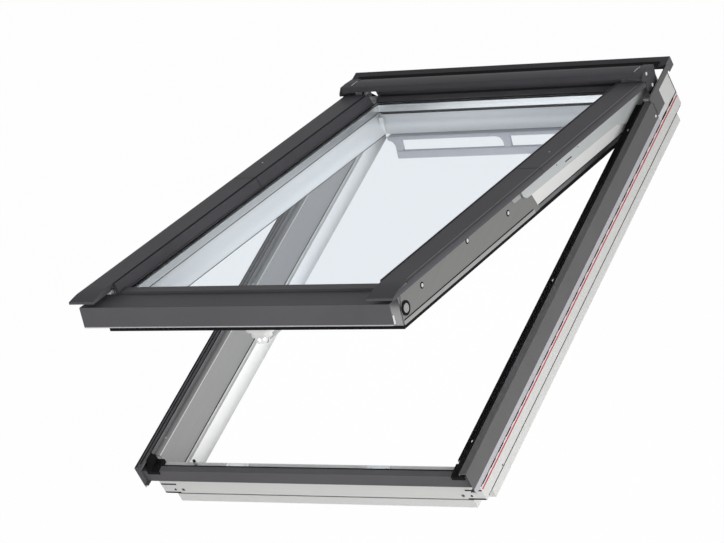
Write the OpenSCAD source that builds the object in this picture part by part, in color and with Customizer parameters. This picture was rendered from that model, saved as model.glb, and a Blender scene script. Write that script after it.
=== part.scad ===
// Top-hung roof window standing ajar: timber frame and sash under metal covers.
// X runs across the window, +Y up the roof slope, +Z out of the roof.
// Z is zero at the room side of the frame. Sizes are in millimetres.

/* [Frame] */
// width over the timber frame
frame_w = 780; // [700:1:1000]
// length of the timber frame up the slope
frame_l = 1178; // [1120:1:1400]
// depth from the room side to the top of the side cladding
frame_h = 130; // [128:0.5:136]
// thickness of a side rail beside the sash
wall_t = 28.5; // [26:0.5:34]
// how far the step reaches in from a side rail
stop_w = 7; // [4:0.5:7.5]
// height of the step above the room side
stop_z = 43; // [40:0.5:46]
// thickness of the bottom rail beside the sash
bottom_wall = 12; // [9:0.5:13]
// how far the step reaches in from the bottom rail
bottom_stop = 16; // [10:0.5:17]
// depth of the bottom rail's top below the side cladding
rim_drop = 25.5; // [24:0.5:30]
// width of the top rail
top_rail_w = 52; // [44:1:54]
// height of the rails in the hinge well
well_z = 85; // [80:1:90]
// length of the hinge well from the top end
well_l = 114; // [112:1:124]
// thickness of the side rails' wall beside the hinge well
well_wall = 2.5; // [1.5:0.25:2.75]
// height of the tongue on the room side
lip_h = 21; // [16:1:26]
// where the tongue stops short of the corners
lip_inset = 30; // [29:1:50]
// width of the groove above the tongue
groove_w = 3; // [1:0.5:5]
// depth of the groove above the tongue
groove_d = 2; // [1:0.5:4]
// radius of the screw holes in the bottom rail
hole_r = 2.5; // [1.5:0.25:3.5]
// depth of the screw holes
hole_depth = 9; // [5:0.5:9]
// distance between the outer and inner screw hole at each end
hole_step = 20; // [12:1:30]
// distance from the rail's end to the inner screw hole
hole_end = 50; // [44:1:70]

/* [Cladding] */
// thickness of the sheet metal
sheet = 1.5; // [1:0.1:1.8]
// how far the side cladding stands off the timber
clad_out = 10.8; // [8:0.2:14]
// height of the side cladding
clad_h = 52; // [46:1:56]
// how far the side cladding runs past the bottom rail
clad_front = 31.8; // [28:0.2:36]
// width of the side cladding's top
clad_strip = 17; // [16.5:0.25:18]
// height of the cladding's inner hem
clad_hem = 5; // [3:0.5:6]
// drop of the bottom cladding below the side cladding
bottom_drop = 18.5; // [17:0.5:20]
// fall of the bottom cladding's top to the front
bottom_slope = 1.5; // [1:0.5:4]
// height of the bottom cladding's face
bottom_face = 30; // [24:0.5:30]
// how far the bottom cladding stands out
bottom_front = 20; // [16:1:22]
// width of the bottom cladding's top
bottom_strip = 14; // [10:1:15]
// width of the bottom seal
seal_w = 3; // [2:0.5:4]
// drop of the lining's flange below the side cladding
flange_drop = 8; // [7:0.5:10]
// width of the side seals on the lining
side_seal_w = 3; // [2:0.5:8]
// height of the side seals over the cladding
side_seal_up = 1; // [0:0.5:6]
// distance from the lining to the cladding's hem
lining_gap = 0.3; // [0.1:0.1:1]
// width of a corner block
block_w = 30; // [20:1:34]
// thickness of the corner block over the cladding
block_t = 2; // [1:0.25:2.5]
// length of the corner block's front fold
block_fold = 8; // [4:1:14]

/* [Casing] */
// how far the casing's back stands behind the frame
casing_back = 14; // [10:1:20]
// height of the casing above the side cladding
casing_top = 16; // [14:1:22]
// distance from the frame's top end to the casing's front lip
casing_lip = 10; // [4:1:10]
// height of the casing's front lip
casing_lip_h = 10; // [6:1:14]
// thickness of the casing and its cheeks
casing_t = 2; // [1.5:0.25:3]
// depth of the casing's back under the side cladding's top
casing_drop = 8; // [4:0.5:12]
// thickness of the board in front of the casing's back
board_t = 6; // [4:0.5:8]
// height of the cheek's side
cheek_h = 40; // [36:1:44]
// length of the cheek's side
cheek_l = 38; // [30:1:60]
// height of the cheek's rib above the side cladding
rib_h = 13; // [8:1:14]
// how far the cheek's rib runs on over the side cladding
rib_on = 6; // [2:1:12]

/* [Hinge] */
// angle the window stands open
open_angle = 20.2; // [10:0.1:30]
// distance of the hinge from the frame's top end
hinge_back = 39.8; // [39:0.2:42]
// depth of the hinge below the side cladding
hinge_drop = 8.7; // [8.5:0.1:9.5]
// radius of the hinge pin
pin_r = 5; // [4:0.5:6]
// running clearance of pins in their bores, on the radius
pin_clear = 0.05; // [0.03:0.01:0.08]
// radius of the hinge eyes
eye_r = 13; // [10:0.5:14]
// thickness of an arm
arm_t = 4.5; // [4:0.25:5]
// gap between an arm and the lining
arm_gap = 1; // [0.5:0.1:1.2]
// thickness of the hinge bracket
bracket_t = 5; // [4:0.5:6]
// gap between arm and bracket
bracket_gap = 0.5; // [0.3:0.1:1]
// thickness of the bracket's foot
foot_t = 3; // [2:0.5:5]
// width of the bracket's foot
foot_w = 25; // [18:1:27]
// height of the arm's top edge over the hinge
arm_up = 8; // [6:0.5:8.5]
// depth of the arm's lower edge under the hinge
arm_down = 27; // [22:1:30]
// depth of the arm's plate near the hinge
arm_plate = 57; // [48:1:60]
// distance from the hinge to the arm's neck
neck_s = 35; // [30:1:40]
// distance from the hinge to the deepest part of the arm's plate
plate_s = 60; // [50:1:70]
// length of the deepest part of the arm's plate
plate_l = 50; // [40:1:60]
// length of the arm's taper behind its plate
taper_l = 58; // [40:1:70]
// length of the arm past the sash pivot
arm_past = 51; // [48:1:56]

/* [Pivot] */
// distance from the hinge to the sash pivot
pivot_s = 545; // [520:5:570]
// gap between the sash pivot and the covers' top
pivot_over = 0.8; // [0.5:0.1:1.5]
// mean radius of the curved slide
slide_r = 40; // [38:0.5:42]
// width of the curved slide
slide_w = 6; // [4:0.5:7]
// side clearance of the slide in its groove
slide_clear = 0.4; // [0.3:0.05:0.6]
// depth of the groove in the arm
slide_depth = 3; // [2:0.25:3.2]
// thickness of the slide's base plate
slide_plate = 2.5; // [2:0.1:2.8]
// first angle of the slide, from straight down
slide_a0 = 72; // [66:1:74]
// last angle of the slide, from straight down
slide_a1 = 5; // [0:1:20]
// last angle of the groove, from straight down
groove_a1 = 105; // [100:1:110]

/* [Sash] */
// gap between the sash and the lining
side_gap = 9; // [8.6:0.1:11]
// distance from the hinge to the sash's top edge
sash_top = 22; // [20:0.5:26]
// gap between the sash and the bottom rail
bottom_gap = 13.2; // [12.5:0.2:15]
// width of a sash rail
rail_w = 60; // [58:1:66]
// how much narrower the sash's top rail is
top_less = 18.5; // [12:0.5:19]
// height of the sash rails over the hinge
rail_up = 6; // [4:0.25:7]
// depth of the sash's room side under the hinge
room_z = 74; // [73:0.5:80]
// width of the sash's shoulder
shoulder_w = 5; // [4:0.5:5.5]
// how much the rails lean in to the room side
lean = 18; // [8:1:19]
// thickness of the gasket under the shoulder
gasket_h = 5; // [3:0.5:6]
// height of the gasket on the sash's side
gasket_up = 6.5; // [5.5:0.5:12]
// thickness of the gasket on the sash's side
gasket_t = 2; // [1:0.1:2.5]
// gap between the gasket and the step when closed
stop_gap = 0.8; // [0.5:0.1:1.5]

/* [Glass] */
// thickness of a pane
pane_t = 4; // [3:0.5:5]
// space between the panes
pane_gap = 16; // [12:1:18]
// depth of the outer glass face under the hinge
glass_z = 2; // [1.5:0.1:3]
// how far the glass lies inside the sash's edge
glass_d = 35; // [34:0.5:38]
// clearance round the glass
glass_clear = 2; // [1:0.25:3]
// gap over and under the glass
bed_gap = 0.2; // [0.1:0.05:0.4]
// width of the spacer
spacer_w = 12; // [8:1:14]
// how far the spacer lies inside the glass edge
spacer_in = 4; // [2:0.5:6]

/* [Covers] */
// height of the covers over the hinge
cover_z = 23.2; // [22:0.1:25]
// thickness of the covers
cover_t = 2; // [1.5:0.1:2.2]
// how far the covers stand out past the timber frame's half width
cover_out = -4; // [-8:0.5:0]
// height of the covers' lower edge over the hinge
cover_low = 10; // [9.6:0.1:11]
// width of the covers' bevelled outer edge
bevel_w = 8; // [5:0.5:10]
// height of the covers' bevelled outer edge
bevel_h = 8; // [5:0.5:9]
// width of the covers' flat top with its bevel
cover_w = 61; // [58:1:63]
// width of the groove beside the flank
flank_gap = 4; // [2:0.5:5]
// depth of the groove beside the flank
flank_cut = 6; // [3:0.5:8]
// width of the flank that slopes to the glass
flank_w = 12; // [11:0.5:16]
// height of the flank's lip at the glass
flank_lip = 4; // [3:0.5:6]
// gap between the upper flank and the glass
flank_clear = 0.5; // [0.4:0.1:1]
// gap between the upper and the lower covers
seam = 2; // [1.6:0.1:3]
// where the upper covers start
cover_s0 = 56; // [54:1:62]
// how far the covers run past the sash's bottom edge
nose_l = 65; // [62:1:70]
// length of the nose's curve
nose_curve = 66; // [50:1:70]
// drop of the nose's curve
nose_drop = 8; // [4:0.5:9]
// width of the ribs under the covers
rib_t = 3; // [2:0.5:4]
// half width of the bottom cover inside the frame's half width
bottom_cover_in = 20.5; // [20:0.5:30]
// how far the bottom cover runs past the sash's bottom edge
bottom_cover_l = 58; // [57:0.5:62]
// height of the bottom cover's face
bottom_cover_h = 44.5; // [36:0.5:46]
// how far the bottom cover lies on the bottom rail
bottom_cover_on = 7.5; // [5:0.5:10]
// gap between the bottom cover's corners and the frame when closed
notch_clear = 2; // [1:0.25:4]
// width of the plugs in the bottom cover's ends
plug_w = 11; // [8:1:14]
// height of the plugs in the bottom cover's ends
plug_h = 18; // [12:1:28]
// depth of the plugs in the bottom cover's ends
plug_d = 7; // [4:0.5:8]
// width of the bottom bead
bead_w = 26.5; // [24:0.5:36]
// height of the bottom bead over the glass
bead_h = 7; // [5:0.5:9]
// gap between beads and covers
bead_gap = 1; // [0.5:0.1:2]
// height of the top bead over the sash rail
top_bead_h = 3; // [2:0.5:5]
// height of the lip at the back of the top bead
bead_lip = 11; // [4:0.5:12]

/* [Hood] */
// front edge of the hood
hood_s1 = 62; // [60:0.5:64]
// back edge of the hood
hood_s0 = 6; // [5.5:0.5:10]
// height of the hood's front lower edge
hood_low = 31; // [28:0.5:33]
// height of the hood's front upper edge
hood_z = 41; // [38:0.5:43]
// rise in the middle of the hood's top
hood_crown = 2; // [0:0.25:3]
// thickness of the hood
hood_t = 2; // [1.5:0.25:3]
// thickness of the hood's end plates
end_t = 2.5; // [2:0.25:3]
// depth of the end plates under the hinge
end_low = 5; // [3:0.5:8]
// radius of the struts
strut_r = 6; // [5:0.5:7]
// distance of the struts from the hinge
strut_s = 31; // [29:0.5:36]
// height of the struts over the hinge
strut_z = 4.7; // [3:0.1:6]
// radius of the screw heads
screw_r = 4; // [3:0.25:5]
// height of the screw heads
screw_h = 1.1; // [0.8:0.1:1.3]

/* [Sash side] */
// thickness of the sash's side cladding
side_t = 2; // [1:0.1:2.4]
// gap at the ends of the side cladding
side_end = 2; // [1:0.5:4]
// distance of the round cap from the sash's bottom edge
cap_end = 17; // [16:0.5:24]
// depth of the round cap under the hinge
cap_z = 41; // [38:0.5:44]
// radius of the round cap
cap_r = 15; // [10:0.5:15.5]
// height of the round cap
cap_h = 2; // [1:0.25:3]

/* [Locks] */
// length of a striker plate
striker_l = 55; // [40:1:70]
// width of a striker plate
striker_w = 8; // [6:0.5:9]
// thickness of a striker plate
striker_t = 1.5; // [1:0.25:2]
// distance of the strikers from the middle
striker_x = 171; // [140:1:200]
// distance of the buffer peg from the middle, on the left
peg_x = 275; // [270:1:300]
// radius of the buffer peg
peg_r = 3.5; // [3:0.25:4]
// height of the buffer peg
peg_h = 9; // [6:0.5:9]
// height of the peg's rubber tip
tip_h = 4; // [3:0.5:5]
// width of the lock bar
lock_t = 5; // [4:0.5:6]
// height of the lock bar
lock_h = 9; // [7:0.5:10]
// length of the lock bar
lock_l = 520; // [480:5:530]
// travel of the lock bar
lock_travel = 12; // [8:1:14]
// length of a lock bolt
bolt_l = 20; // [14:1:26]
// gap between the lock bar and the sash
lock_gap = 0.3; // [0.2:0.05:0.6]

/* [Handle] */
// length of the handle's rosette
rosette_l = 64; // [56:1:76]
// width of the handle's rosette
rosette_w = 30; // [28:0.5:30.5]
// thickness of the rosette
rosette_t = 14; // [8:0.5:16]
// distance of the handle from the sash's bottom edge
handle_s = 21; // [21:0.5:26]
// radius of the handle's spindle
spindle_r = 5; // [4:0.25:6]
// depth of the spindle in the sash rail
spindle_l = 14; // [10:1:20]
// length of the rosette's boss
boss_l = 45; // [34:1:54]
// thickness of the rosette's boss
boss_t = 12; // [8:0.5:14]
// radius of the handle's hub and of the boss
hub_r = 13; // [11:0.5:14]
// thickness of the handle's hub
hub_t = 12; // [11:0.5:14]
// thickness of the handle's grip
grip_t = 10; // [7:0.5:10.5]
// length of the handle's grip
grip_l = 95; // [70:1:110]
// width of the handle's grip
grip_w = 20; // [14:1:22]
// gap between the rosette and the handle
handle_gap = 0.5; // [0.3:0.1:1]

/* [Ventilation] */
// length of the ventilation flap
flap_l = 560; // [480:5:566]
// width of the ventilation flap
flap_w = 46; // [40:1:50]
// thickness of the ventilation flap
flap_t = 8.5; // [6:0.5:8.5]
// gap between the flap and the sash
flap_gap = 0.5; // [0.4:0.1:1]
// radius of the flap's pin
flap_pin_r = 2; // [1.5:0.25:2.5]
// radius of the flap's knuckle
knuckle_r = 4.5; // [4:0.25:5]
// width of the lugs at the pin's ends
lug_w = 6; // [4:0.5:8]
// how far the control bar hangs below the flap
bar_hang = 25; // [20:1:35]
// height of the control bar
bar_w = 20; // [14:1:24]
// thickness of the control bar
bar_t = 9; // [8:0.5:12]
// width of a bar bracket
bracket_w = 18; // [10:1:24]
// thickness of a bar bracket
bracket_d = 7.5; // [5:0.5:8]
// radius of the bracket's curve at the flap
bracket_r = 17; // [8:1:20]
// distance of the inner bar bracket from the middle
bar_mid = 35; // [0:5:120]

/* [Hidden] */
$fn = 48;

white = [0.93, 0.93, 0.92];
beige = [0.89, 0.87, 0.83];
dark = [0.29, 0.28, 0.30];
satin = [0.72, 0.73, 0.73];
black = [0.06, 0.06, 0.06];
glass_tint = [0.80, 0.88, 0.92, 0.5];
chrome = [0.80, 0.80, 0.82];

half_w = frame_w / 2;
wall_x = half_w - wall_t;
stop_x = wall_x - stop_w;
clad_x = half_w + clad_out;
clad_in = clad_x - clad_strip;
clad_low = frame_h - clad_h;
lining_x = wall_x - sheet;
flange_z = frame_h - flange_drop;
rim_z = frame_h - rim_drop;
well_y = frame_l - well_l;
bottom_top = frame_h - bottom_drop;
bottom_edge = bottom_top - bottom_slope;
bottom_low = bottom_edge - bottom_face;
stop_y = bottom_wall + bottom_stop;
seal_y = bottom_strip - bottom_front;
nose_y = -bottom_front + sheet;
hinge_y = frame_l - hinge_back;
hinge_z = frame_h - hinge_drop;
casing_y = frame_l + casing_back;
mid_y = (casing_y - clad_front) / 2;
arm_x1 = lining_x - arm_gap;
arm_x0 = arm_x1 - arm_t;
bracket_x0 = arm_x1 + bracket_gap;
bracket_x1 = bracket_x0 + bracket_t;
pivot_z = cover_z + pivot_over;
sash_hw = lining_x - side_gap;
sash_s1 = hinge_y - bottom_wall - bottom_gap;
seal_z = stop_z + stop_gap - hinge_z;
shoulder_z = seal_z + gasket_h;
bead_z = -glass_z + bed_gap;
rail_end = hinge_y - bottom_wall + notch_clear;
glass_low = -glass_z - 2 * pane_t - pane_gap;
bed_z = glass_low - bed_gap;
rebate_d = glass_d - glass_clear;
cover_x = half_w + cover_out;
cover_in = cover_x - cover_w;
flank_x1 = cover_in - flank_gap;
flank_x0 = flank_x1 - flank_w;
bead_d = sash_hw - flank_x1 - flank_gap;
nose_s1 = sash_s1 + nose_l;
nose_s0 = nose_s1 - nose_curve;
cover_sheet_z = cover_z - cover_t;
bottom_hw = half_w - bottom_cover_in;
bottom_s0 = sash_s1 - bottom_cover_on;
bottom_s1 = sash_s1 + bottom_cover_l;
hood_hw = cover_x - end_t;
side_s1 = sash_s1 - side_end;
ear_z = cover_sheet_z - 1;
ear_l = slide_r + slide_w;
ear_s = pivot_s - ear_l - ear_z;
handle_sc = sash_s1 - handle_s;
flap_z = -room_z - knuckle_r - flap_gap;
flap_s = sash_top + shoulder_w + knuckle_r + 2;
flap_low = flap_z - knuckle_r;
bar_hl = flap_l / 2 - bracket_r;
bar_s = flap_s + flap_w - bracket_d / 2;
lock_z = bead_z - 2;
peg_y = bottom_wall / 2;

module in_frame() {
    translate([0, -mid_y, 0]) children();
}

module in_sash() {
    in_frame() translate([0, hinge_y, hinge_z]) rotate([-open_angle, 0, 0]) children();
}

module left() {
    mirror([1, 0, 0]) children();
}

module both() {
    children();
    left() children();
}

// a section in X and Z drawn along Y
module along_y(y0, y1) {
    translate([0, y1, 0]) rotate([90, 0, 0]) linear_extrude(y1 - y0) children();
}

// a section in Y and Z drawn along X
module along_x(x0, x1) {
    translate([x0, 0, 0]) rotate([90, 0, 90]) linear_extrude(x1 - x0) children();
}

// a section in X and Z drawn down the sash
module down_s(s0, s1) {
    along_y(-s1, -s0) children();
}

// a section in distance down the sash and Z, drawn along X
module across_s(x0, x1) {
    along_x(x0, x1) mirror([1, 0]) children();
}

// a block given by its ranges across, down the sash and outwards
module sash_block(x0, x1, s0, s1, z0, z1) {
    translate([x0, -s1, z0]) cube([x1 - x0, s1 - s0, z1 - z0]);
}

// a round bar along X at a place on the sash
module sash_rod(x0, x1, s, z, r) {
    translate([x0, -s, z]) rotate([0, 90, 0]) cylinder(h = x1 - x0, r = r);
}

module side_rail() {
    difference() {
        union() {
            along_y(bottom_wall, well_y) polygon([[half_w, lip_h], [half_w, frame_h - sheet],
                [clad_in + sheet, frame_h - sheet], [clad_in + sheet, flange_z - sheet],
                [wall_x, flange_z - sheet], [wall_x, lip_h]]);
            translate([wall_x, well_y, lip_h]) cube([wall_t, well_l, well_z - lip_h]);
            translate([half_w - well_wall, well_y, lip_h])
                cube([well_wall, well_l, frame_h - sheet - lip_h]);
            translate([stop_x, bottom_wall, lip_h])
                cube([stop_w, frame_l - top_rail_w - bottom_wall, stop_z - lip_h]);
            translate([wall_x, lip_inset, 0]) cube([wall_t, frame_l - 2 * lip_inset, lip_h]);
            translate([stop_x, lip_inset, 0])
                cube([stop_w, frame_l - top_rail_w - lip_inset, lip_h]);
        }
        translate([half_w - groove_d, 0, lip_h]) cube([groove_d + 1, frame_l + 1, groove_w]);
    }
}

module frame_rail_left() {
    color(white) in_frame() left() side_rail();
}

module frame_rail_right() {
    color(white) in_frame() side_rail();
}

module frame_rail_bottom() {
    color(white) in_frame() difference() {
        union() {
            along_x(-half_w, half_w) polygon([[0, lip_h], [0, bottom_low + sheet],
                [nose_y, bottom_low + sheet], [nose_y, rim_z], [bottom_wall, rim_z],
                [bottom_wall, lip_h]]);
            translate([-stop_x, bottom_wall, lip_h]) cube([2 * stop_x, bottom_stop, stop_z - lip_h]);
            translate([lip_inset - half_w, 0, 0])
                cube([2 * (half_w - lip_inset), min(stop_y, lip_inset), lip_h]);
        }
        translate([-half_w - 1, -1, lip_h]) cube([frame_w + 2, groove_d + 1, groove_w]);
        both() for (i = [0, 1])
            translate([half_w - hole_end + i * hole_step, hole_depth, (lip_h + groove_w + stop_z) / 2])
                rotate([90, 0, 0]) cylinder(h = hole_depth + 1, r = hole_r - i * 0.5);
    }
}

module frame_rail_top() {
    board_hw = bracket_x0 - bracket_gap;
    color(white) in_frame() union() {
        translate([-board_hw, frame_l - board_t, well_z])
            cube([2 * board_hw, board_t, frame_h - casing_drop + casing_t - well_z]);
        translate([-wall_x, frame_l - top_rail_w, lip_h])
            cube([2 * wall_x, top_rail_w, well_z - lip_h]);
        translate([lip_inset - wall_x, frame_l - top_rail_w, 0])
            cube([2 * (wall_x - lip_inset), top_rail_w, lip_h]);
    }
}

module side_cladding() {
    along_y(-clad_front, well_y) polygon([[half_w, clad_low], [clad_x, clad_low], [clad_x, frame_h],
        [clad_in, frame_h], [clad_in, frame_h - clad_hem], [clad_in + sheet, frame_h - clad_hem],
        [clad_in + sheet, frame_h - sheet], [clad_x - sheet, frame_h - sheet],
        [clad_x - sheet, clad_low + sheet], [half_w, clad_low + sheet]]);
}

module cladding_left() {
    color(dark) in_frame() left() side_cladding();
}

module cladding_right() {
    color(dark) in_frame() side_cladding();
}

module cladding_bottom() {
    reach = clad_x - sheet - lining_gap;
    color(dark) in_frame() along_x(-reach, reach) polygon([[0, bottom_low], [-bottom_front, bottom_low],
        [-bottom_front, bottom_edge], [seal_y, bottom_top], [seal_y, rim_z], [seal_y - sheet, rim_z],
        [seal_y - sheet, bottom_top - sheet], [nose_y, bottom_edge - sheet], [nose_y, bottom_low + sheet],
        [0, bottom_low + sheet]]);
}

module side_lining() {
    lip_x = clad_in - lining_gap;
    along_y(bottom_wall, well_y) polygon([[lip_x, flange_z - sheet], [lip_x, frame_h - 2],
        [lip_x - sheet, frame_h - 2], [lip_x - sheet, flange_z], [lining_x, flange_z],
        [lining_x, stop_z + flange_drop], [wall_x, stop_z + flange_drop], [wall_x, flange_z - sheet]]);
}

module lining_left() {
    color(satin) in_frame() left() side_lining();
}

module lining_right() {
    color(satin) in_frame() side_lining();
}

module corner_blocks() {
    block_x = clad_in - lining_gap;
    front = -bottom_front - block_t;
    low = bottom_edge - block_fold;
    color(black) in_frame() both() union() {
        along_x(block_x - block_w, block_x) polygon([[front, low], [front, bottom_edge],
            [seal_y, bottom_top + block_t], [bottom_wall, bottom_top + block_t], [bottom_wall, rim_z],
            [seal_y, rim_z], [seal_y, bottom_top], [-bottom_front, bottom_edge], [-bottom_front, low]]);
        along_x(bottom_hw + block_t / 2, block_x) polygon([[front, low], [front, bottom_top],
            [seal_y, frame_h - sheet], [bottom_wall, frame_h - sheet], [bottom_wall, rim_z],
            [seal_y, rim_z], [seal_y, bottom_top], [-bottom_front, bottom_edge], [-bottom_front, low]]);
    }
}

module bottom_seal() {
    reach = clad_in - lining_gap - block_w;
    color(black) in_frame() translate([-reach, seal_y, rim_z])
        cube([2 * reach, seal_w, bottom_top - rim_z]);
}

module side_seals() {
    x = clad_in - lining_gap - sheet;
    color(black) in_frame() both() translate([x - side_seal_w, bottom_wall, flange_z])
        cube([side_seal_w, well_y - bottom_wall, flange_drop + side_seal_up]);
}

module top_casing() {
    lip_y = frame_l - casing_lip;
    top = frame_h + casing_top;
    low = frame_h - casing_drop;
    color(dark) in_frame() along_x(-clad_x, clad_x) polygon([[lip_y, top - casing_lip_h - 1],
        [lip_y, top - 1], [casing_y, top], [casing_y, low], [frame_l, low], [frame_l, low + casing_t],
        [casing_y - casing_t, low + casing_t], [casing_y - casing_t, top - casing_t],
        [lip_y + casing_t, top - 1 - casing_t], [lip_y + casing_t, top - casing_lip_h - 1]]);
}

module cheek() {
    low = frame_h - cheek_h;
    outer = clad_x + casing_t;
    union() {
        along_y(well_y, well_y + cheek_l) polygon([[half_w, low], [outer, low], [outer, frame_h],
            [clad_x, frame_h], [clad_x, low + casing_t], [half_w, low + casing_t]]);
        translate([clad_x, well_y - rib_on, frame_h - casing_t])
            cube([casing_t, rib_on + casing_y - well_y, casing_t + rib_h]);
        translate([clad_x, frame_l - casing_lip, frame_h - casing_drop])
            cube([casing_t, casing_lip + casing_back, casing_drop + casing_top]);
    }
}

module cheek_left() {
    color(dark) in_frame() left() cheek();
}

module cheek_right() {
    color(dark) in_frame() cheek();
}

module hinge_bracket() {
    difference() {
        union() {
            along_x(bracket_x0, bracket_x1) union() {
                translate([hinge_y, hinge_z]) circle(r = eye_r);
                polygon([[hinge_y - eye_r, hinge_z], [hinge_y + eye_r, hinge_z],
                    [frame_l - foot_t, well_z], [hinge_y - eye_r, well_z]]);
            }
            translate([bracket_x0, hinge_y - eye_r, well_z])
                cube([foot_w, hinge_back - foot_t + eye_r, foot_t]);
        }
        translate([bracket_x0 - 1, hinge_y, hinge_z]) rotate([0, 90, 0])
            cylinder(h = bracket_t + 2, r = pin_r);
    }
}

module hinge_bracket_left() {
    color(satin) in_frame() left() hinge_bracket();
}

module hinge_bracket_right() {
    color(satin) in_frame() hinge_bracket();
}

module hinge_pins() {
    color(chrome) in_frame() both() translate([arm_x0, hinge_y, hinge_z]) rotate([0, 90, 0])
        cylinder(h = bracket_x1 - arm_x0, r = pin_r);
}

module striker_plates() {
    y = (bottom_wall - striker_w) / 2;
    color(satin) in_frame() both() translate([striker_x - striker_l / 2, y, rim_z])
        cube([striker_l, striker_w, striker_t]);
}

module buffer_pegs() {
    color(white) in_frame() left() translate([peg_x, peg_y, rim_z]) cylinder(h = peg_h, r = peg_r);
}

module buffer_tips() {
    color(black) in_frame() left() translate([peg_x, peg_y, rim_z + peg_h])
        cylinder(h = tip_h, r = peg_r - 0.5);
}

// points of a sector round the sash pivot, angles from straight down
function sector(a0, a1, r) = concat([[pivot_s, pivot_z]], [for (i = [0:6])
    let (a = a0 + (a1 - a0) * i / 6) [pivot_s + r * sin(a), pivot_z - r * cos(a)]]);

// a curved bar round the sash pivot
module curved_bar(x0, x1, a0, a1, w) {
    intersection() {
        difference() {
            sash_rod(x0, x1, pivot_s, pivot_z, slide_r + w / 2);
            sash_rod(x0 - 1, x1 + 1, pivot_s, pivot_z, slide_r - w / 2);
        }
        across_s(x0, x1) polygon(sector(a0, a1, 2 * slide_r));
    }
}

module arm() {
    tip = pivot_s + arm_past;
    tip_r = (arm_up + arm_down) / 2;
    difference() {
        union() {
            sash_rod(arm_x0, arm_x1, 0, 0, eye_r);
            sash_rod(arm_x0, arm_x1, tip - tip_r, arm_up - tip_r, tip_r);
            across_s(arm_x0, arm_x1) polygon([[0, arm_up], [ear_s, arm_up],
                [pivot_s - ear_l, ear_z], [pivot_s + ear_l, ear_z], [tip - 2, arm_up - tip_r],
                [tip - tip_r, -arm_down], [plate_s + plate_l + taper_l, -arm_down - 5],
                [plate_s + plate_l, -arm_plate + 6], [plate_s, -arm_plate], [neck_s, 2 - arm_down],
                [0, -eye_r]]);
        }
        sash_rod(arm_x0 - 1, arm_x1 + 1, 0, 0, pin_r + pin_clear);
        curved_bar(arm_x0 - 1, arm_x0 + slide_depth, -slide_a0 - 4, groove_a1, slide_w + 2 * slide_clear);
    }
}

module arm_left() {
    color(satin) in_sash() left() arm();
}

module arm_right() {
    color(satin) in_sash() arm();
}

// the section of a side cover's sheet, as far as the groove beside its flank
function cover_pts() = [[cover_x, cover_low], [cover_x, cover_z - bevel_h],
    [cover_x - bevel_w * 0.3, cover_z - bevel_h * 0.3], [cover_x - bevel_w, cover_z], [cover_in, cover_z],
    [cover_in, cover_z - flank_cut], [flank_x1, cover_z - flank_cut],
    [flank_x1, cover_z - flank_cut - cover_t], [cover_in + cover_t, cover_z - flank_cut - cover_t],
    [cover_in + cover_t, cover_sheet_z], [cover_x - bevel_w, cover_sheet_z],
    [cover_x - cover_t, cover_z - bevel_h], [cover_x - cover_t, cover_low]];

// the section of a flank, its foot at the given height
function flank_pts(foot) = [[flank_x1, cover_z - 1.5], [flank_x1 - 2, cover_z], [flank_x1 - 4, cover_z - 1],
    [flank_x0 + 3, bead_z + flank_lip], [flank_x0, bead_z + flank_lip - 1], [flank_x0, foot],
    [flank_x1, foot]];

module upper_cover() {
    union() {
        down_s(cover_s0, pivot_s - seam / 2) {
            polygon(cover_pts());
            polygon(flank_pts(bead_z + flank_clear));
        }
        sash_block(arm_x0, arm_x1, cover_s0, ear_s, arm_up, cover_sheet_z);
    }
}

module upper_cover_left() {
    color(dark) in_sash() left() upper_cover();
}

module upper_cover_right() {
    color(dark) in_sash() upper_cover();
}

// the side view of a nose, made smaller all round by the given amount
module nose_view(in) {
    polygon(concat([[nose_s0 - 1, cover_low - in], [nose_s0 - 1, cover_z - in]],
        [for (i = [0:8]) let (t = i / 8) [nose_s0 + (nose_curve - in) * t, cover_z - in - nose_drop * t * t]],
        [[nose_s1 - in, cover_low - in]]));
}

module lower_cover() {
    union() {
        down_s(pivot_s + seam / 2, nose_s0) polygon(cover_pts());
        down_s(pivot_s + seam / 2, bottom_s0 - bead_gap) polygon(flank_pts(bead_z));
        difference() {
            intersection() {
                down_s(nose_s0, nose_s1) polygon([[cover_x, cover_low], [cover_x, cover_z - bevel_h],
                    [cover_x - bevel_w * 0.3, cover_z - bevel_h * 0.3], [cover_x - bevel_w, cover_z],
                    [cover_in, cover_z], [cover_in, cover_low]]);
                across_s(cover_in, cover_x) nose_view(0);
            }
            intersection() {
                sash_block(cover_in + cover_t, cover_x - cover_t, nose_s0 - 1, nose_s1, 0, cover_z);
                across_s(cover_in, cover_x) nose_view(cover_t);
            }
        }
        sash_block(cover_in + rib_t, cover_in + 2 * rib_t, pivot_s + rail_w, bottom_s0 - rail_w, rail_up,
            cover_sheet_z);
    }
}

module lower_cover_left() {
    color(dark) in_sash() left() lower_cover();
}

module lower_cover_right() {
    color(dark) in_sash() lower_cover();
}

function hood_top(s) = hood_z
    + hood_crown * (1 - pow((2 * s - hood_s0 - hood_s1) / (hood_s1 - hood_s0), 2));

module hood() {
    back = hood_s0 + hood_t;
    front = hood_s1 - 5;
    color(dark) in_sash() across_s(-hood_hw, hood_hw) polygon(concat([[hood_s1, hood_low]],
        [for (i = [0:10]) let (s = front + (hood_s0 - front) * i / 10) [s, hood_top(s)]],
        [[hood_s0, hood_low + 4], [back, hood_low + 4]],
        [for (i = [0:10]) let (s = back + (front - hood_t - back) * i / 10) [s, hood_top(s) - hood_t]],
        [[hood_s1 - hood_t, hood_low]]));
}

module hood_end() {
    across_s(hood_hw, cover_x) polygon([[hood_s0, -end_low], [hood_s0, hood_z + hood_crown],
        [hood_s1 - 5, hood_z + hood_crown], [hood_s1 + 6, hood_low], [hood_s1 + 6, cover_z + 2],
        [cover_s0 - 2, cover_z - 2], [cover_s0 - 2, -end_low]]);
}

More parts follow.
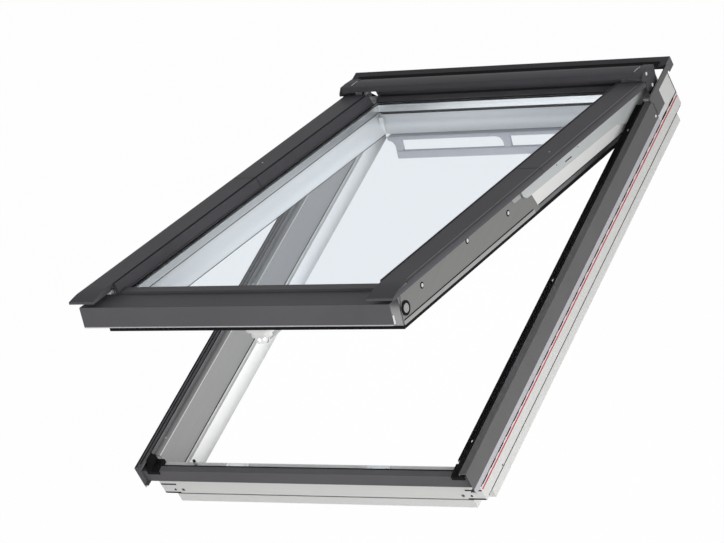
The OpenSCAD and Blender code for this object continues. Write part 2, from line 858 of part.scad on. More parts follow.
module hood_end_left() {
    color(dark) in_sash() left() hood_end();
}

module hood_end_right() {
    color(dark) in_sash() hood_end();
}

module hood_struts() {
    color(satin) in_sash() both() sash_rod(arm_x1, hood_hw, strut_s, strut_z, strut_r);
}

module hood_screws() {
    color(satin) in_sash() both() {
        sash_rod(cover_x, cover_x + screw_h, strut_s, strut_z, screw_r);
        sash_rod(cover_x, cover_x + screw_h, (strut_s + hood_s1) / 2, (hood_low + hood_z) / 2, screw_r);
    }
}

// the section of a sash rail: distance in from the sash's edge, and Z
function rail_pts(top, less = 0) = concat([[0, top], [0, shoulder_z], [shoulder_w, shoulder_z],
    [shoulder_w, -room_z], [rail_w - less, -room_z], [rail_w - lean - less, bed_z], [rebate_d - less, bed_z],
    [rebate_d - less, bead_z]], top > bead_z ? [[bead_d - less, bead_z], [bead_d - less, top]] : []);

// a wall round a sash rail that cuts its ends to a mitre
module mitre(pts) {
    translate([0, 0, -2 * room_z]) linear_extrude(4 * room_z) polygon(pts);
}

module sash_side_rail() {
    difference() {
        intersection() {
            down_s(sash_top, sash_s1) polygon([for (p = rail_pts(rail_up)) [sash_hw - p[0], p[1]]]);
            mitre([[sash_hw, -sash_top], [sash_hw - rail_w, -sash_top - rail_w + top_less],
                [sash_hw - rail_w, rail_w - sash_s1], [sash_hw, -sash_s1]]);
        }
        sash_block(sash_hw - rail_w, sash_hw + 1, bottom_s0 - bead_gap, sash_s1 + 1, bead_z, rail_up + 1);
    }
}

module sash_rail_left() {
    color(beige) in_sash() left() sash_side_rail();
}

module sash_rail_right() {
    color(beige) in_sash() sash_side_rail();
}

module sash_rail_top() {
    color(beige) in_sash() intersection() {
        across_s(-sash_hw, sash_hw) polygon([for (p = rail_pts(rail_up, top_less)) [sash_top + p[0], p[1]]]);
        mitre([[sash_hw, -sash_top], [sash_hw - rail_w, -sash_top - rail_w + top_less],
            [rail_w - sash_hw, -sash_top - rail_w + top_less], [-sash_hw, -sash_top]]);
    }
}

module sash_rail_bottom() {
    color(beige) in_sash() difference() {
        intersection() {
            across_s(-sash_hw, sash_hw) polygon([for (p = rail_pts(bead_z)) [sash_s1 - p[0], p[1]]]);
            mitre([[sash_hw, -sash_s1], [sash_hw - rail_w, rail_w - sash_s1],
                [rail_w - sash_hw, rail_w - sash_s1], [-sash_hw, -sash_s1]]);
        }
        translate([0, -handle_sc, -room_z - 1]) cylinder(h = spindle_l + 2, r = spindle_r + pin_clear);
    }
}

module pane(z0) {
    x = sash_hw - glass_d;
    sash_block(-x, x, sash_top + glass_d - top_less, sash_s1 - glass_d, z0, z0 + pane_t);
}

module outer_pane() {
    color(glass_tint) in_sash() pane(-glass_z - pane_t);
}

module inner_pane() {
    color(glass_tint) in_sash() pane(glass_low);
}

// a flat ring round the sash, its edges given by their distance in from the sash's edge, the top one less
module sash_ring(d0, d1, z0, z1, less = 0) {
    difference() {
        sash_block(d0 - sash_hw, sash_hw - d0, sash_top + d0 - less, sash_s1 - d0, z0, z1);
        sash_block(d1 - sash_hw, sash_hw - d1, sash_top + d1 - less, sash_s1 - d1, z0 - 1, z1 + 1);
    }
}

module spacer() {
    edge = glass_d + spacer_in;
    color(satin) in_sash() sash_ring(edge, edge + spacer_w, glass_low + pane_t, -glass_z - pane_t, top_less);
}

module sash_gasket() {
    color(black) in_sash() union() {
        sash_ring(-gasket_t, 0, seal_z, seal_z + gasket_up);
        sash_ring(0, shoulder_w, seal_z, shoulder_z);
    }
}

module bottom_cover() {
    top = bead_z + sheet;
    low = top - bottom_cover_h;
    color(dark) in_sash() difference() {
        across_s(-bottom_hw, bottom_hw) polygon([[bottom_s0, bead_z], [bottom_s0, top], [bottom_s1, top],
            [bottom_s1, low], [bottom_s1 - plug_d, low], [bottom_s1 - plug_d, low + sheet],
            [bottom_s1 - sheet, low + sheet], [bottom_s1 - sheet, bead_z]]);
        both() sash_block(arm_x0, half_w, bottom_s0 - 1, rail_end, bead_z - 1, top + 1);
    }
}

module cover_plugs() {
    low = bead_z - bottom_cover_h + 2 * sheet;
    color(white) in_sash() both()
        sash_block(bottom_hw - plug_w, bottom_hw, bottom_s1 - plug_d, bottom_s1 - sheet, low, low + plug_h);
}

module bottom_bead() {
    reach = flank_x0 - bead_gap;
    end = bottom_s0 - bead_gap;
    back = end - bead_w;
    color(dark) in_sash() across_s(-reach, reach) polygon([[back, bead_z], [back, bead_z + bead_h - 2],
        [back + 4, bead_z + bead_h], [end, bead_z + bead_h], [end, bead_z]]);
}

module top_bead() {
    reach = flank_x0 - bead_gap;
    s0 = sash_top - top_less;
    s1 = s0 + sash_hw - flank_x0;
    top = rail_up + top_bead_h;
    color(dark) in_sash() across_s(-reach, reach) polygon([[sash_top, rail_up], [sash_top, top + bead_lip],
        [sash_top + cover_t, top + bead_lip], [sash_top + cover_t, top], [s0 + glass_d, top],
        [s1, bead_z + flank_lip], [s1, bead_z], [s0 + bead_d, bead_z], [s0 + bead_d, rail_up]]);
}

module sash_side() {
    top = seal_z + gasket_up;
    across_s(sash_hw, sash_hw + side_t) polygon([[pivot_s + 10, rail_up], [pivot_s + 10, -arm_down - 3],
        [pivot_s - 6, top + 10], [pivot_s - 10, top], [side_s1, top], [side_s1, top + 30],
        [side_s1 - 12, rail_up - 6], [side_s1 - 30, rail_up]]);
}

module sash_side_left() {
    color(satin) in_sash() left() sash_side();
}

module sash_side_right() {
    color(satin) in_sash() sash_side();
}

module side_screws() {
    x = sash_hw + side_t;
    color(satin) in_sash() both() for (p = [[0.2, -28], [0.5, -15], [0.84, -26]])
        sash_rod(x, x + screw_h, pivot_s + p[0] * (sash_s1 - pivot_s), p[1], screw_r);
}

module side_caps() {
    x = sash_hw + side_t;
    color(black) in_sash() both() sash_rod(x, x + cap_h, sash_s1 - cap_end, -cap_z, cap_r);
}

module slide() {
    x = sash_hw + slide_plate;
    union() {
        sash_block(sash_hw, x, pivot_s - slide_r - slide_w, pivot_s + 9, -arm_down,
            pivot_z - slide_r * 0.25);
        curved_bar(x - 1, arm_x0 + slide_depth - slide_clear, -slide_a0, -slide_a1, slide_w);
    }
}

module slide_left() {
    color(satin) in_sash() left() slide();
}

module slide_right() {
    color(satin) in_sash() slide();
}

// a plate with round ends, lying across the sash
module stadium(length, r, h) {
    for (i = [-1, 1]) translate([i * (length / 2 - r), 0, 0]) cylinder(h = h, r = r);
    translate([r - length / 2, -r, 0]) cube([length - 2 * r, 2 * r, h]);
}

module handle_rosette() {
    color(white) in_sash() translate([0, -handle_sc, -room_z - rosette_t]) difference() {
        union() {
            stadium(rosette_l, rosette_w / 2, rosette_t);
            translate([0, 0, -boss_t]) stadium(boss_l, hub_r, boss_t);
        }
        translate([0, 0, -boss_t - 1]) cylinder(h = rosette_t + boss_t + 2, r = spindle_r + pin_clear);
    }
}

module handle() {
    top = -room_z - rosette_t - boss_t - handle_gap;
    grip_end = grip_l - grip_w / 2;
    color(chrome) in_sash() translate([0, -handle_sc, top - hub_t]) union() {
        cylinder(h = hub_t, r = hub_r);
        translate([0, 0, hub_t - 1]) cylinder(h = spindle_l + rosette_t + boss_t + 1, r = spindle_r);
        translate([-grip_w / 2, 0, 0]) cube([grip_w, grip_end, grip_t]);
        translate([0, grip_end, 0]) cylinder(h = grip_t, r = grip_w / 2);
    }
}

module lock_bar() {
    s0 = sash_s1 + lock_gap;
    color(satin) in_sash() union() {
        sash_block(-lock_l / 2, lock_l / 2, s0, s0 + lock_t, lock_z - lock_h, lock_z);
        for (i = [-1, 1]) sash_block(i * striker_x - bolt_l / 2, i * striker_x + bolt_l / 2,
            s0 + lock_t - 1, sash_s1 + bottom_gap + bottom_wall / 2, lock_z - lock_h, lock_z - 2);
    }
}

module flap_pin() {
    x = flap_l / 2 + lug_w + 1;
    color(chrome) in_sash() sash_rod(-x, x, flap_s, flap_z, flap_pin_r);
}

module flap_lugs() {
    x = flap_l / 2 + 1;
    color(white) in_sash() both() difference() {
        sash_block(x, x + lug_w, flap_s - knuckle_r, flap_s + knuckle_r, flap_low, -room_z);
        sash_rod(x - 1, x + lug_w + 1, flap_s, flap_z, flap_pin_r);
    }
}

module vent_flap() {
    color(white) in_sash() difference() {
        union() {
            sash_rod(-flap_l / 2, flap_l / 2, flap_s, flap_z, knuckle_r);
            sash_block(-flap_l / 2, flap_l / 2, flap_s, flap_s + flap_w, flap_low, flap_low + flap_t);
        }
        sash_rod(-flap_l / 2 - 1, flap_l / 2 + 1, flap_s, flap_z, flap_pin_r + pin_clear);
    }
}

// a bracket of the control bar, its curve to the right
module bar_bracket() {
    down_s(bar_s - bracket_d / 2, bar_s + bracket_d / 2) polygon(concat([[0, flap_low],
        [0, flap_low - bar_hang], [bracket_w, flap_low - bar_hang]], [for (i = [0:8]) let (a = i * 90 / 8)
        [bracket_w + bracket_r * (1 - cos(a)), flap_low - bracket_r * (1 - sin(a))]]));
}

module bar_brackets() {
    color(white) in_sash() {
        both() translate([bar_hl - bracket_w, 0, 0]) bar_bracket();
        translate([bar_mid, 0, 0]) left() bar_bracket();
    }
}

module control_bar() {
    color(satin) in_sash() across_s(-bar_hl, bar_hl)
        translate([bar_s, flap_low - bar_hang - bar_w / 2]) polygon([for (i = [0:23])
            let (a = 15 * i, c = cos(a), s = sin(a))
            [sign(c) * pow(abs(c), 0.6) * bar_t / 2, sign(s) * pow(abs(s), 0.3) * bar_w / 2]]);
}

frame_rail_left();
frame_rail_right();
frame_rail_bottom();
frame_rail_top();
cladding_left();
cladding_right();
cladding_bottom();
lining_left();
lining_right();
corner_blocks();
bottom_seal();
side_seals();
top_casing();
cheek_left();
cheek_right();
hinge_bracket_left();
hinge_bracket_right();
hinge_pins();
striker_plates();
buffer_pegs();
buffer_tips();
arm_left();
arm_right();
upper_cover_left();
upper_cover_right();
hood();
hood_end_left();
hood_end_right();
hood_struts();
hood_screws();
sash_rail_left();
sash_rail_right();
sash_rail_top();
sash_rail_bottom();
outer_pane();
inner_pane();
spacer();
sash_gasket();
lower_cover_left();
lower_cover_right();
bottom_cover();
cover_plugs();
bottom_bead();
top_bead();
sash_side_left();
sash_side_right();
side_screws();
side_caps();
slide_left();
slide_right();
handle_rosette();
flap_pin();
flap_lugs();
handle();
lock_bar();
vent_flap();
bar_brackets();
control_bar();
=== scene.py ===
"""Looks of a top-hung roof window standing ajar: lacquered covers, painted timber, satin lining, glass."""
import math

import bmesh
import bpy
from mathutils import Matrix, Vector


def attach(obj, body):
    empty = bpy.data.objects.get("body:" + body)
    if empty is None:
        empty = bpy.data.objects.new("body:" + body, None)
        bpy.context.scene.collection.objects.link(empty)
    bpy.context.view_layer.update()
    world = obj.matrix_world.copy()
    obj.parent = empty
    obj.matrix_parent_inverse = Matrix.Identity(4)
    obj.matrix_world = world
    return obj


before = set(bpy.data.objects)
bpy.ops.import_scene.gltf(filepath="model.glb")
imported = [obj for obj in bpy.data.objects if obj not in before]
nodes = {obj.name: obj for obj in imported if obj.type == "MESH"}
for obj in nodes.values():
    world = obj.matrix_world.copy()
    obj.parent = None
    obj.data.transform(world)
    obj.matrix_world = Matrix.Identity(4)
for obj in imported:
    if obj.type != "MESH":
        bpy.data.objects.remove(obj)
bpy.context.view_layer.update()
scene = bpy.context.scene

# places that the solids give, in metres
MID_Y = 0.5801
HINGE_Y = 1.1382 - MID_Y
HINGE_Z = 0.1213
OPEN = math.radians(20.2)
MM = 0.001
SIDES = (-1, 1)


def on_frame(x, y, z):
    """A point of the frame: across, up from the timber's lower end, out from the room side, in mm."""
    return Vector((x * MM, y * MM - MID_Y, z * MM))


def on_sash(x, s, z):
    """A point of the sash: across, down from the hinge, out from the hinge's plane, in mm."""
    y = HINGE_Y + (-s * math.cos(OPEN) + z * math.sin(OPEN)) * MM
    return Vector((x * MM, y, HINGE_Z + (s * math.sin(OPEN) + z * math.cos(OPEN)) * MM))


# camera
CAMERA_AT = Vector((4.051, -4.7341, 4.577))
CAMERA_LOOK = Vector((-0.5401, 0.6116, -0.5782)).normalized()
CAMERA_UP = Vector((0.0146, 0.6937, 0.7201))
camera_data = bpy.data.cameras.new("camera")
camera_data.sensor_width = 36.0
camera_data.lens = 179.97
camera_data.clip_end = 60.0
camera = bpy.data.objects.new("camera", camera_data)
scene.collection.objects.link(camera)
right = CAMERA_LOOK.cross(CAMERA_UP).normalized()
up = right.cross(CAMERA_LOOK).normalized()
turn = Matrix((right, up, -CAMERA_LOOK)).transposed()
camera.matrix_world = Matrix.Translation(CAMERA_AT) @ turn.to_4x4()
scene.camera = camera

scene.view_settings.view_transform = "Standard"


# materials
class Mat:
    """A material with its Principled shader and a short way to add nodes to it."""

    def __init__(self, name, color, rough, metal=0.0, **sockets):
        self.mat = bpy.data.materials.new(name)
        self.mat.use_nodes = True
        self.tree = self.mat.node_tree
        self.shader = self.tree.nodes["Principled BSDF"]
        self.mat.diffuse_color = (*color, 1.0)
        self.set("Base Color", (*color, 1.0))
        self.set("Roughness", rough)
        self.set("Metallic", metal)
        for key, value in sockets.items():
            self.set(key.replace("_", " "), value)
        self.coords = self.add("ShaderNodeTexCoord")

    def set(self, name, value):
        self.shader.inputs[name].default_value = value

    def add(self, kind, **values):
        node = self.tree.nodes.new(kind)
        for key, value in values.items():
            setattr(node, key, value)
        return node

    def link(self, a, b):
        self.tree.links.new(a, b)

    def noise(self, scale, detail=3.0, rough=0.55, stretch=(1, 1, 1), turn_x=0.0):
        place = self.add("ShaderNodeMapping")
        place.inputs["Scale"].default_value = stretch
        place.inputs["Rotation"].default_value = (turn_x, 0, 0)
        self.link(self.coords.outputs["Object"], place.inputs["Vector"])
        noise = self.add("ShaderNodeTexNoise")
        noise.inputs["Scale"].default_value = scale
        noise.inputs["Detail"].default_value = detail
        noise.inputs["Roughness"].default_value = rough
        self.link(place.outputs["Vector"], noise.inputs["Vector"])
        return noise.outputs["Fac"]

    def ramp(self, fac, stops):
        ramp = self.add("ShaderNodeValToRGB")
        while len(ramp.color_ramp.elements) < len(stops):
            ramp.color_ramp.elements.new(0.5)
        for element, (at, color) in zip(ramp.color_ramp.elements, stops):
            element.position = at
            element.color = (*color, 1.0)
        self.link(fac, ramp.inputs["Fac"])
        return ramp.outputs["Color"]

    def color_from(self, fac, stops):
        self.link(self.ramp(fac, stops), self.shader.inputs["Base Color"])

    def rough_from(self, fac, low, high):
        span = self.add("ShaderNodeMapRange")
        span.inputs["To Min"].default_value = low
        span.inputs["To Max"].default_value = high
        self.link(fac, span.inputs["Value"])
        self.link(span.outputs["Result"], self.shader.inputs["Roughness"])

    def bump_from(self, fac, strength, distance):
        bump = self.add("ShaderNodeBump")
        bump.inputs["Strength"].default_value = strength
        bump.inputs["Distance"].default_value = distance
        self.link(fac, bump.inputs["Height"])
        self.link(bump.outputs["Normal"], self.shader.inputs["Normal"])


def shade(color, k):
    """The same colour, lighter or darker."""
    return tuple(min(1.0, c * k) for c in color)


def lacquer(name, color, rough=0.45):
    """Powder-like lacquer on sheet metal."""
    m = Mat(name, color, rough, Specular_IOR_Level=0.05)
    m.color_from(m.noise(6.0, 4.0), [(0.3, shade(color, 0.94)), (0.7, shade(color, 1.06))])
    fine = m.noise(1400.0, 2.0)
    m.rough_from(fine, rough - 0.05, rough + 0.08)
    m.bump_from(fine, 0.10, 0.0002)
    return m.mat


def painted_wood(name, color, along, turn_x=0.0):
    """White paint over timber, the grain faint under it."""
    m = Mat(name, color, 0.42, Specular_IOR_Level=0.2)
    stretch = [28.0, 28.0, 28.0]
    stretch[along] = 1.2
    grain = m.noise(9.0, 5.0, 0.6, tuple(stretch), turn_x)
    m.color_from(grain, [(0.25, shade(color, 0.975)), (0.75, shade(color, 1.012))])
    m.rough_from(grain, 0.38, 0.5)
    m.bump_from(grain, 0.06, 0.0004)
    return m.mat


def satin(name, color, along, rough=0.36, turn_x=0.0, metal=1.0):
    """Brushed or drawn aluminium, its fine lines along one direction."""
    m = Mat(name, color, rough, metal)
    stretch = [260.0, 260.0, 260.0]
    stretch[along] = 1.5
    lines = m.noise(6.0, 3.0, 0.6, tuple(stretch), turn_x)
    m.color_from(lines, [(0.3, shade(color, 0.9)), (0.7, shade(color, 1.08))])
    m.rough_from(lines, rough - 0.06, rough + 0.1)
    m.bump_from(lines, 0.08, 0.0002)
    return m.mat


def rubber(name, color=(0.008, 0.008, 0.009)):
    """Dull rubber with a fine grain."""
    m = Mat(name, color, 0.7, Specular_IOR_Level=0.08)
    fine = m.noise(700.0, 3.0)
    m.color_from(fine, [(0.3, shade(color, 0.75)), (0.7, shade(color, 1.3))])
    m.rough_from(fine, 0.62, 0.82)
    m.bump_from(fine, 0.15, 0.0003)
    return m.mat


def plastic(name, color, rough=0.4):
    """Moulded plastic or smooth paint."""
    m = Mat(name, color, rough, Specular_IOR_Level=0.4)
    fine = m.noise(900.0, 2.0)
    m.color_from(m.noise(14.0), [(0.3, shade(color, 0.97)), (0.7, shade(color, 1.02))])
    m.rough_from(fine, rough - 0.05, rough + 0.1)
    m.bump_from(fine, 0.06, 0.0002)
    return m.mat


def window_glass(name):
    """Clear, slightly cool glass with very faint waves."""
    m = Mat(name, (0.89, 0.915, 0.938), 0.0, Transmission_Weight=1.0, IOR=1.06)
    waves = m.noise(3.0, 1.0)
    m.bump_from(waves, 0.01, 0.0004)
    return m.mat


# the sash's paint is the frame's white made lighter: painted light for the rails seen under the glass
TIMBER = (0.80, 0.80, 0.79)
SASH_TIMBER_PAINTED_LIGHT = (0.91, 0.91, 0.90)
# one dark lacquer in several shades: the covers and the casing darker as painted shade on their top faces,
# the cheeks and the right cladding lighter as painted light on their sides
dark_metal = lacquer("dark_lacquer", (0.132, 0.128, 0.136))
cover_lacquer_painted_shade = lacquer("dark_lacquer_covers_painted_shade", (0.110, 0.106, 0.116))
casing_lacquer_painted_shade = lacquer("dark_lacquer_casing_painted_shade", (0.088, 0.084, 0.093))
side_lacquer_painted_light = lacquer("dark_lacquer_side_painted_light", (0.158, 0.157, 0.160), 0.5)
black_metal = lacquer("black_lacquer", (0.022, 0.021, 0.023), 0.5)
timber_x = painted_wood("white_timber_across", TIMBER, 0)
timber_y = painted_wood("white_timber_along", TIMBER, 1)
sash_across_painted_light = painted_wood("sash_timber_across_painted_light", SASH_TIMBER_PAINTED_LIGHT, 0, OPEN)
sash_along_painted_light = painted_wood("sash_timber_along_painted_light", SASH_TIMBER_PAINTED_LIGHT, 1, OPEN)
lining = satin("satin_lining", (0.27, 0.27, 0.272), 1, metal=0.55)
flange_grey = satin("satin_flange", (0.20, 0.20, 0.203), 1)
spacer = satin("satin_spacer", (0.66, 0.67, 0.67), 1)
sash_alu = satin("satin_sash_side", (0.25, 0.25, 0.245), 1, 0.5, OPEN)
pale_alu = satin("pale_sash_band", (0.40, 0.40, 0.395), 1, 0.45, OPEN)
bright = satin("bright_steel", (0.68, 0.69, 0.69), 1, 0.3, OPEN)
black = rubber("black_rubber")
white_plastic = plastic("white_plastic", (0.82, 0.82, 0.81))
grey_plastic = plastic("grey_plastic", (0.36, 0.36, 0.37))
pale_paint = plastic("pale_paint", (0.62, 0.65, 0.65), 0.45)
lilac_plastic = plastic("lilac_plastic", (0.56, 0.55, 0.59))
bar_plastic = plastic("bar_plastic", (0.40, 0.395, 0.43))
red_plastic = plastic("red_plastic", (0.60, 0.018, 0.035))
chrome = satin("polished_chrome", (0.80, 0.80, 0.81), 0, 0.12)
glass = window_glass("clear_glass")

LOOKS = {
    dark_metal: ["cladding_left", "cladding_bottom", "bottom_cover", "bottom_bead"],
    cover_lacquer_painted_shade: ["upper_cover_left", "upper_cover_right", "lower_cover_left", "lower_cover_right",
                  "top_bead"],
    casing_lacquer_painted_shade: ["top_casing", "hood", "hood_end_left", "hood_end_right"],
    side_lacquer_painted_light: ["cheek_left", "cheek_right", "cladding_right"],
    black_metal: ["hinge_bracket_left", "hinge_bracket_right", "hood_struts"],
    timber_x: ["frame_rail_bottom", "frame_rail_top"],
    timber_y: ["frame_rail_left", "frame_rail_right"],
    sash_across_painted_light: ["sash_rail_top", "sash_rail_bottom"],
    sash_along_painted_light: ["sash_rail_left", "sash_rail_right"],
    lining: ["lining_left", "lining_right"],
    spacer: ["spacer"],
    sash_alu: ["sash_side_left", "sash_side_right"],
    bright: ["hinge_pins", "hood_screws", "side_screws", "striker_plates", "slide_left",
             "slide_right", "flap_pin", "lock_bar"],
    black: ["corner_blocks", "bottom_seal", "side_seals", "buffer_tips", "sash_gasket", "side_caps"],
    white_plastic: ["cover_plugs", "handle_rosette"],
    grey_plastic: ["buffer_pegs"],
    pale_paint: ["arm_left", "arm_right"],
    bar_plastic: ["flap_lugs", "vent_flap", "bar_brackets", "control_bar"],
    chrome: ["handle"],
    glass: ["outer_pane", "inner_pane"],
}
SOFT_EDGED = {
    "frame_rail_left", "frame_rail_right", "frame_rail_bottom", "frame_rail_top",
    "sash_rail_left", "sash_rail_right", "sash_rail_top", "sash_rail_bottom",
    "cladding_left", "cladding_right", "cladding_bottom", "lining_left", "lining_right",
    "upper_cover_left", "upper_cover_right", "lower_cover_left", "lower_cover_right",
    "bottom_cover", "bottom_bead", "hood", "hood_end_left", "hood_end_right", "top_casing",
    "cheek_left", "cheek_right", "corner_blocks", "arm_left", "arm_right", "handle_rosette", "handle",
    "vent_flap", "control_bar", "sash_side_left", "sash_side_right", "side_seals",
}
# rounded edges: widths in metres, and the sharpest bend that stays as it is, in degrees
WELD_WITHIN = 0.00001
EDGE_WIDTH = 0.0005
EDGE_STEPS = 2
EDGE_BEND = 28


def soften(obj, width, weld=False):
    """Small rounded edges, so that they catch the light."""
    if weld:
        join = obj.modifiers.new("weld", "WELD")
        join.merge_threshold = WELD_WITHIN
    edge = obj.modifiers.new("edges", "BEVEL")
    edge.width = width
    edge.segments = EDGE_STEPS
    edge.limit_method = "ANGLE"
    edge.angle_limit = math.radians(EDGE_BEND)


for look, names in LOOKS.items():
    for name in names:
        mesh = nodes[name].data
        mesh.materials.clear()
        mesh.materials.append(look)
        if name in SOFT_EDGED:
            soften(nodes[name], EDGE_WIDTH, True)
for name in ("outer_pane", "inner_pane"):
    nodes[name].visible_shadow = False


# small pieces
class Shape:
    """Collects prisms and turned forms into one piece."""

    def __init__(self):
        self.verts = []
        self.faces = []

    def add(self, points, faces):
        base = len(self.verts)
        self.verts.extend(points)
        self.faces.extend([[base + i for i in face] for face in faces])

    def prism(self, place, axis, section, t0, t1):
        """A closed section drawn across (axis x) or along (axis a) from t0 to t1."""
        n = len(section)
        points = []
        for t in (t0, t1):
            points += [place(t, p, q) if axis == "x" else place(p, t, q) for p, q in section]
        sides = [[i, (i + 1) % n, n + (i + 1) % n, n + i] for i in range(n)]
        self.add(points, sides + [list(range(n)), list(range(n, 2 * n))])
        return self

    def pair(self, place, axis, section, t0, t1):
        """The same on both sides of the window."""
        self.prism(place, axis, section, t0, t1)
        if axis == "x":
            return self.prism(place, axis, section, -t1, -t0)
        return self.prism(place, axis, [(-p, q) for p, q in section], t0, t1)

    def turned(self, at, axis, profile, n=28):
        """A profile of radius and height in mm, turned round an axis."""
        axis = axis.normalized()
        side = axis.orthogonal().normalized()
        other = axis.cross(side)
        points, faces = [], []
        for r, h in profile:
            for k in range(n):
                a = 2 * math.pi * k / n
                spoke = side * math.cos(a) + other * math.sin(a)
                points.append(at + axis * (h * MM) + spoke * (r * MM))
        for ring in range(len(profile) - 1):
            for k in range(n):
                a, b = ring * n + k, ring * n + (k + 1) % n
                faces.append([a, b, b + n, a + n])
        faces += [list(range(n)), list(range((len(profile) - 1) * n, len(profile) * n))]
        self.add(points, faces)
        return self

    def piece(self, name, body, slot, look, edge=0.0, smooth=False):
        """Ends the shape: one mesh that rides on a body, with a look; the slot argument is not used."""
        mesh = bpy.data.meshes.new(name)
        mesh.from_pydata([tuple(v) for v in self.verts], [], self.faces)
        bm = bmesh.new()
        bm.from_mesh(mesh)
        bmesh.ops.recalc_face_normals(bm, faces=bm.faces)
        bm.to_mesh(mesh)
        bm.free()
        if smooth:
            mesh.shade_smooth()
        mesh.materials.append(look)
        obj = bpy.data.objects.new(name, mesh)
        scene.collection.objects.link(obj)
        if edge:
            soften(obj, edge)
        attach(obj, body)
        return obj


ACROSS = Vector((1, 0, 0))
DOWN_FRONT = Vector((0, -1, 0))
OUT = Vector((0, 0, 1))
SASH_OUT = Vector((0, math.sin(OPEN), math.cos(OPEN)))
SCREW = [(0.6, 0.2), (0.9, 0.35), (1.3, 0.9), (2.4, 1.0), (3.0, 0.55), (3.1, 0.0)]


def rect(p0, p1, q0, q1, c=0.25):
    """A rectangle with its corners cut by c."""
    return [(p0 + c, q0), (p1 - c, q0), (p1, q0 + c), (p1, q1 - c),
            (p1 - c, q1), (p0 + c, q1), (p0, q1 - c), (p0, q0 + c)]


# on the frame
LINING_RUN = (13, 1063)
SLOTS, SLOT_PITCH, SLOT_START, SLOT_END = 27, 43, 12, 38
# a black ribbed sheet over the right flange only, the left flange keeps its satin: painted shade and
# painted reflection of the sash's dark underside
ribbed = [(360.4, 122.02), (378.9, 122.02), (378.9, 123.6), (374.6, 123.6), (374.1, 123.0),
          (372.2, 123.0), (371.7, 123.6), (366.2, 123.6), (365.7, 123.0), (364.6, 123.0),
          (364.1, 123.6), (361.0, 123.4)]
Shape().prism(on_frame, "a", ribbed, 13, 1062).piece("right_flange_painted_shade", "frame", "black_rubber", black)
# a black strip along the foot of each lining, where it meets the step: painted shade
Shape().pair(on_frame, "a", rect(360.15, 361.5, 47.6, 50.95), *LINING_RUN).piece(
    "lining_foot_painted_shade", "frame", "black_rubber", black)
lip = [(398.4, 77.99), (398.4, 73.4), (399.0, 72.2), (400.7, 72.2), (401.0, 72.8), (401.0, 85.4),
       (400.75, 85.7), (400.75, 77.99)]
Shape().pair(on_frame, "a", lip, -31.4, 1063.6).piece(
    "cladding_lip", "frame", "satin_aluminium", lilac_plastic, 0.0002)
seam = Shape().pair(on_frame, "a", rect(389.9, 390.7, 57.4, 59.6), 3, 1174)
for k in range(SLOTS):
    step = SLOT_PITCH * k
    seam.pair(on_frame, "a", rect(389.9, 391.2, 56.4, 60.4), SLOT_START + step, SLOT_END + step)
seam.piece("side_seam", "frame", "black_rubber", black)
Shape().pair(on_frame, "a", rect(389.9, 390.5, 48.4, 51.8, 0.15), 4, 1174).piece(
    "side_line", "frame", "white_plastic", red_plastic)
lines_and_shade = Shape().pair(on_frame, "a", rect(389.9, 390.6, 56, 127.5), 1175.2, 1176.9)
lines_and_shade.pair(on_frame, "x", rect(-0.5, 0.1, 47.8, 51.2, 0.15), 351, 389.4)
# the lines at the tongue's end and in the recess over the tongue are painted shade; the joint at the upper
# end and the slit are real
lines_and_shade.pair(on_frame, "x", rect(-0.5, 0.1, 23.6, 26.8, 0.15), 350, 389.4)
lines_and_shade.prism(on_frame, "x", rect(1.1, 1.98, 21.3, 23.7, 0.15), -388.5, 388.5)
lines_and_shade.pair(on_frame, "a", rect(388.02, 388.9, 21.3, 23.7, 0.15), 3, 1174)
# dark cups inside the screw bores: painted shade in the holes
for side in SIDES:
    for x, r in ((340, 3.2), (360, 1.8)):
        shade_cup = [(0.4, -7.5), (r, -7.2), (r, -0.5), (r + 0.3, 0.25), (r + 0.9, 0.25), (r + 1.0, -0.02)]
        lines_and_shade.turned(on_frame(side * x, 0, 33.5), DOWN_FRONT, shade_cup)
    lines_and_shade.turned(on_frame(side * 390, 91.5, 27.5), side * ACROSS,
                 [(0.5, -0.1), (1.2, 0.3), (1.9, 0.4), (2.1, -0.1)])
lines_and_shade.piece("timber_lines_and_painted_shade", "frame", "black_rubber", black)
# a bright strip along the left lining's top edge only: a painted highlight
edge = [(-362.4, 122.02), (-360.1, 122.02), (-360.1, 122.8), (-361.2, 123.0), (-362.2, 122.8)]
Shape().prism(on_frame, "a", edge, *LINING_RUN).piece("lining_painted_highlight", "frame", "bright_steel", bright)
cover = [(-379.0, 122.02), (-362.6, 122.02), (-362.6, 122.6), (-377.9, 122.6), (-378.3, 130.6),
         (-379.0, 130.8)]
Shape().prism(on_frame, "a", cover, *LINING_RUN).piece("flange_face", "frame", "satin_aluminium", lining)
trim = Shape().prism(on_frame, "a", rect(-400.7, -396.6, 129.9, 130.25, 0.1), -30, 1063)
trim.prism(on_frame, "a", rect(-392.6, -389.4, 129.9, 130.25, 0.1), -20, 1063)
trim.piece("cladding_trim", "frame", "black_rubber", black)
# a black band on the casing's top just behind the hood: painted shadow
Shape().prism(on_frame, "x", rect(1158, 1175.5, 145.9, 146.7), -385, 385).piece(
    "casing_painted_shadow", "frame", "black_rubber", black)
screws = Shape()
for side, top in ((1, 123.0), (-1, 122.0)):
    for y in (64, 521, 980):
        screws.turned(on_frame(side * 373, y, top), OUT, SCREW)
    screws.turned(on_frame(side * 400.75, 1054, 96), side * ACROSS, SCREW)
    for x in (-19, 19):
        screws.turned(on_frame(side * 171 + x, 6, 105.95), OUT, SCREW)
screws.piece("frame_screws", "frame", "bright_steel", bright, 0.0, True)

